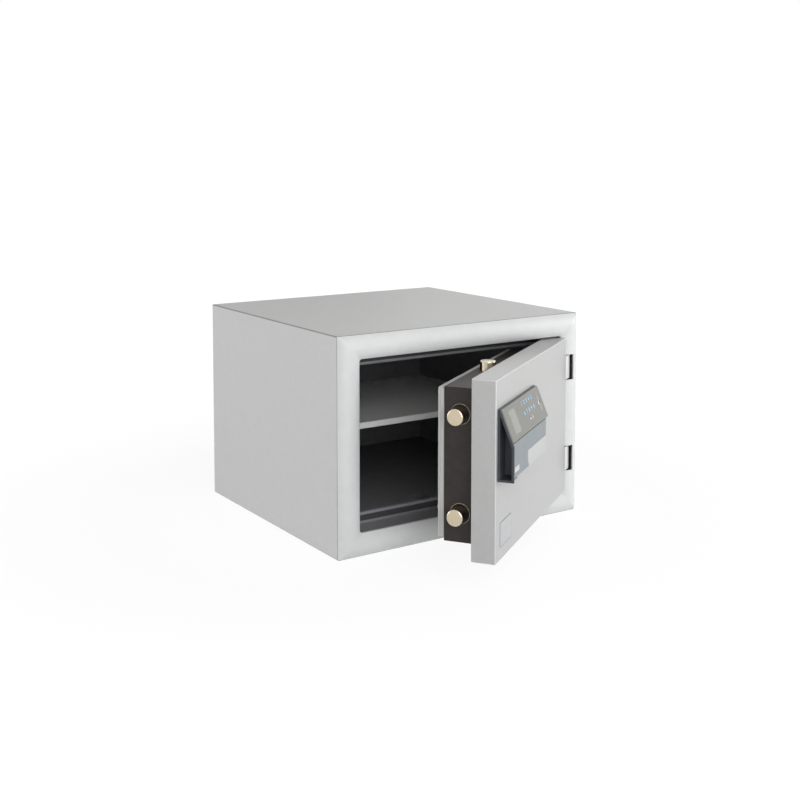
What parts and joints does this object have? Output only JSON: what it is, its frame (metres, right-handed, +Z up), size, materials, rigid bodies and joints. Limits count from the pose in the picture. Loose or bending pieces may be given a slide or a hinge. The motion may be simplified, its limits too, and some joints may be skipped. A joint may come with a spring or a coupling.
{
  "type": "electronic safe",
  "caption": "Fire resistant steel safe with an insulated cabinet, a shelf, a thick swinging door, motor driven round bolts and an inclined touch lock unit.",
  "frame": {"origin": "centre of the cabinet's base, on the surface that it stands on", "axes": "+Z up, -Y out of the front of the cabinet, +X to the hinge side"},
  "size_m": [0.485, 0.7024, 0.35],
  "materials": {
    "shell_paint": "fine textured light grey powder coat",
    "frame_paint": "smooth light grey paint",
    "door_paint": "fine metallic light grey powder coat",
    "dark_paint": "fine textured black powder coat",
    "jamb_plastic": "moulded, satin",
    "liner_plastic": "moulded, matt",
    "seal": "matt",
    "fill": "cast fire resistant fill",
    "shelf_paint": "smooth white paint",
    "bare_steel": "drawn and machined",
    "nickel": "satin nickel plate",
    "bearing_bronze": "machined",
    "cover_plastic": "moulded, satin",
    "guide_plastic": "moulded",
    "housing_plastic": "moulded, slate grey",
    "panel_glass": "smooth, warm grey",
    "window": "smooth, pale",
    "blue_grey_plastic": "moulded, satin",
    "pale_plastic": "moulded, satin",
    "board": "lacquered",
    "cell": "lacquered"
  },
  "bodies": {
    "cabinet": {"outer_shell": "shell_paint", "back_panel": "shell_paint", "front_frame": "frame_paint", "door_jamb": "jamb_plastic", "fire_seal": "seal", "cabinet_fill": "fill", "inner_liner": "liner_plastic", "shelf": "shelf_paint", "shelf_brackets": "dark_paint", "hinge_pockets": "dark_paint", "hinge_pins": "bare_steel"},
    "door": {"door_skin": "door_paint", "door_fill": "fill", "inner_plate": "bare_steel", "hinge_arms": "door_paint", "hinge_bushes": "bearing_bronze", "boltwork_case": "dark_paint", "back_cover": "cover_plastic", "cover_screws": "bare_steel", "bolt_rings": "nickel", "rack_guides": "guide_plastic", "gear_motor": "bare_steel", "shaft_bush": "bearing_bronze", "lock_housing": "housing_plastic", "touch_panel": "panel_glass", "display_window": "window", "finger_sensor": "window", "lower_cover": "blue_grey_plastic", "lower_plate": "pale_plastic", "control_board": "board", "battery_holder": "liner_plastic", "battery_cells": "cell"},
    "side_bolts_and_carriage": {"side_bolts": "nickel", "bolt_carriage": "bare_steel", "bolt_nuts": "bare_steel"},
    "top_bolt_and_rod": {"top_bolt": "nickel", "top_rod": "bare_steel"},
    "bottom_bolt_and_rod": {"bottom_bolt": "nickel", "bottom_rod": "bare_steel"},
    "drive": {"drive_gear": "bearing_bronze", "drive_shaft": "bare_steel"}
  },
  "joints": [
    {"name": "door", "type": "hinge", "parent": "cabinet", "child": "door", "pos_m": [0.2185, -0.219, 0.177], "axis": [0, 0, 1], "range_deg": [-34.5, 55.5]},
    {"name": "bolts", "type": "slide", "parent": "door", "child": "side_bolts_and_carriage", "axis": [0.8241, 0.5664, 0], "range_m": [0, 0.022]},
    {"name": "drive_turn", "type": "hinge", "parent": "door", "child": "drive", "pos_m": [-0.0313, -0.32516, 0.175], "axis": [-0.5664, 0.8241, 0], "range_deg": [-63.1, 0]},
    {"name": "top_bolt_slide", "type": "slide", "parent": "door", "child": "top_bolt_and_rod", "axis": [0, 0, -1], "range_m": [0, 0.022]},
    {"name": "bottom_bolt_slide", "type": "slide", "parent": "door", "child": "bottom_bolt_and_rod", "axis": [0, 0, 1], "range_m": [0, 0.022]}
  ],
  "couplings": [
    {"joint": "drive_turn", "follows": "bolts", "rad_per_m": -50},
    {"joint": "top_bolt_slide", "follows": "bolts", "ratio": 1},
    {"joint": "bottom_bolt_slide", "follows": "bolts", "ratio": 1}
  ]
}
